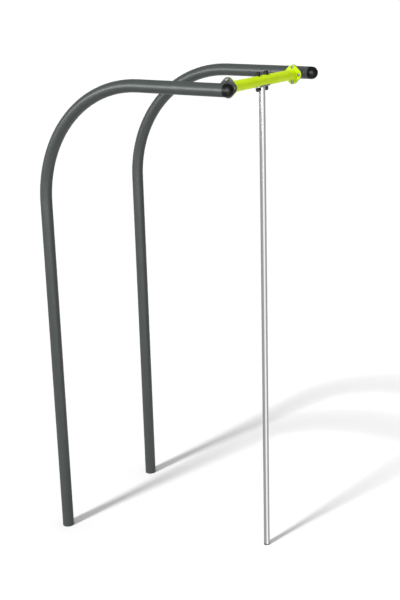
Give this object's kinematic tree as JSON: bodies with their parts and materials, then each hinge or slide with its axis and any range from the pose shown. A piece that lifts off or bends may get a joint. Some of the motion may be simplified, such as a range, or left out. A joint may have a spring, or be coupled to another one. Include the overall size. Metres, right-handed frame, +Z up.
{
  "type": "climbing pole frame",
  "caption": "Outdoor climbing pole: bent tube posts reach forward to a flange-bolted crossbar, and an upright steel pole runs from the crossbar's middle down to the ground.",
  "frame": {"origin": "on the ground, under the middle of the frame's whole footprint", "axes": "+X along the crossbar from the left post to the right one, +Y from the pole back towards the posts, +Z up"},
  "size_m": [1.0332, 1.4579, 3.0969],
  "materials": {
    "grey_coat": "satin dark grey powder coat",
    "lime_coat": "gloss lime green powder coat",
    "black_plastic": "moulded black plastic",
    "bright_steel": "polished stainless steel",
    "dull_steel": "dull stainless steel plate, as rolled",
    "fastener_steel": "plain stainless steel"
  },
  "bodies": {
    "root": {"left_post": "grey_coat", "right_post": "grey_coat", "left_arm_stub": "grey_coat", "right_arm_stub": "grey_coat", "left_arm_flange": "grey_coat", "right_arm_flange": "grey_coat", "crossbar": "lime_coat", "left_crossbar_flange": "lime_coat", "right_crossbar_flange": "lime_coat", "left_end_cap": "black_plastic", "right_end_cap": "black_plastic", "upper_cover_seats": "black_plastic", "upper_bolt_covers": "black_plastic", "lower_cover_seats": "black_plastic", "lower_bolt_covers": "black_plastic", "climbing_pole": "bright_steel", "pole_saddle": "dull_steel", "left_flange_screws": "fastener_steel", "right_flange_screws": "fastener_steel", "left_flange_dome_nuts": "fastener_steel", "right_flange_dome_nuts": "fastener_steel", "left_flange_washers": "fastener_steel", "right_flange_washers": "fastener_steel", "pole_bolts": "fastener_steel", "pole_nuts": "fastener_steel", "pole_washers": "fastener_steel", "crush_sleeves": "fastener_steel"}
  },
  "joints": []
}
